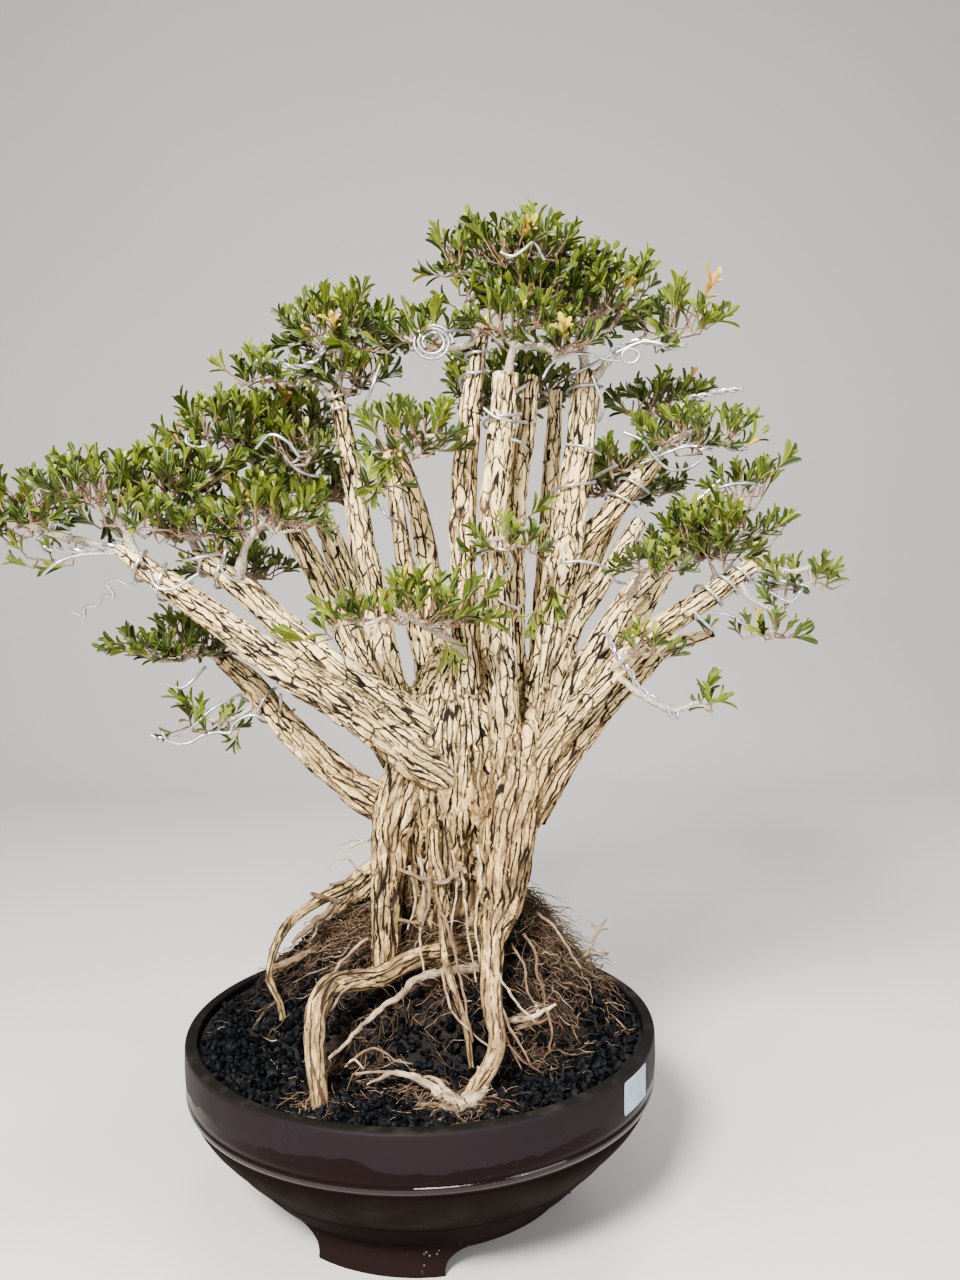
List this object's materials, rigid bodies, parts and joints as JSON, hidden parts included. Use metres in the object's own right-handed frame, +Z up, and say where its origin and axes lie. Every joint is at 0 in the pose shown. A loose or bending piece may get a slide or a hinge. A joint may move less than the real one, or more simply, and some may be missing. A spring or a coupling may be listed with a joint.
{
  "type": "boxwood bonsai",
  "caption": "Clump-style boxwood bonsai with fissured pale stems, clipped leaf pads, exposed roots and training wires, in a round brown glazed pot.",
  "frame": {"origin": "on the surface the pot stands on, under the middle of the pot", "axes": "+Z up along the pot's axis, -Y the front of the tree, +X to the right seen from the front"},
  "size_m": [0.6718, 0.385, 0.7976],
  "materials": {
    "glaze": "dark chocolate-brown gloss glaze",
    "label_paper": "bare pale blue-grey paper sticker",
    "soil": "dark blue-grey lava granules, matt",
    "bark": "pale cream plates of bark split by dark fissures",
    "leaf": "glossy yellow-green leaves on thin brown twigs",
    "wire": "weathered soft training wire"
  },
  "bodies": {
    "root": {"pot": "glaze", "label": "label_paper", "soil": "soil", "wood": "bark", "wire_farLeft": "wire", "wire_upperLeft": "wire", "wire_lowLeft": "wire", "wire_tallLeft": "wire", "wire_centre": "wire", "wire_cutTop": "wire", "wire_tallRight": "wire", "wire_waist": "wire", "wire_cutRight": "wire", "wire_longRight": "wire", "wire_farRight": "wire", "spray_farLeftTip": "leaf", "spray_farLeft": "leaf", "spray_leftTop": "leaf", "spray_leftInner": "leaf", "spray_leftCrown": "leaf", "spray_leftCrownBack": "leaf", "spray_leftPeak": "leaf", "spray_leftPeakLow": "leaf", "spray_midLeftTop": "leaf", "spray_topSprig": "leaf", "spray_crown": "leaf", "spray_crownFront": "leaf", "spray_rightPeak": "leaf", "spray_rightPeakTip": "leaf", "spray_midFront": "leaf", "spray_frontShelf": "leaf", "spray_frontRight": "leaf", "spray_rightHigh": "leaf", "spray_rightHighBack": "leaf", "spray_rightMid": "leaf", "spray_rightMidLeft": "leaf", "spray_rightTip": "leaf", "spray_rightLow": "leaf", "spray_rightBelow": "leaf", "spray_rightSprig": "leaf", "spray_lowLeftPad": "leaf", "spray_lowLeftSprig": "leaf", "spray_rearLeftPad": "leaf", "spray_rearMidPad": "leaf", "spray_rearRightPad": "leaf", "spray_rearLowLeftPad": "leaf", "spray_rearLowRightPad": "leaf"}
  },
  "joints": []
}
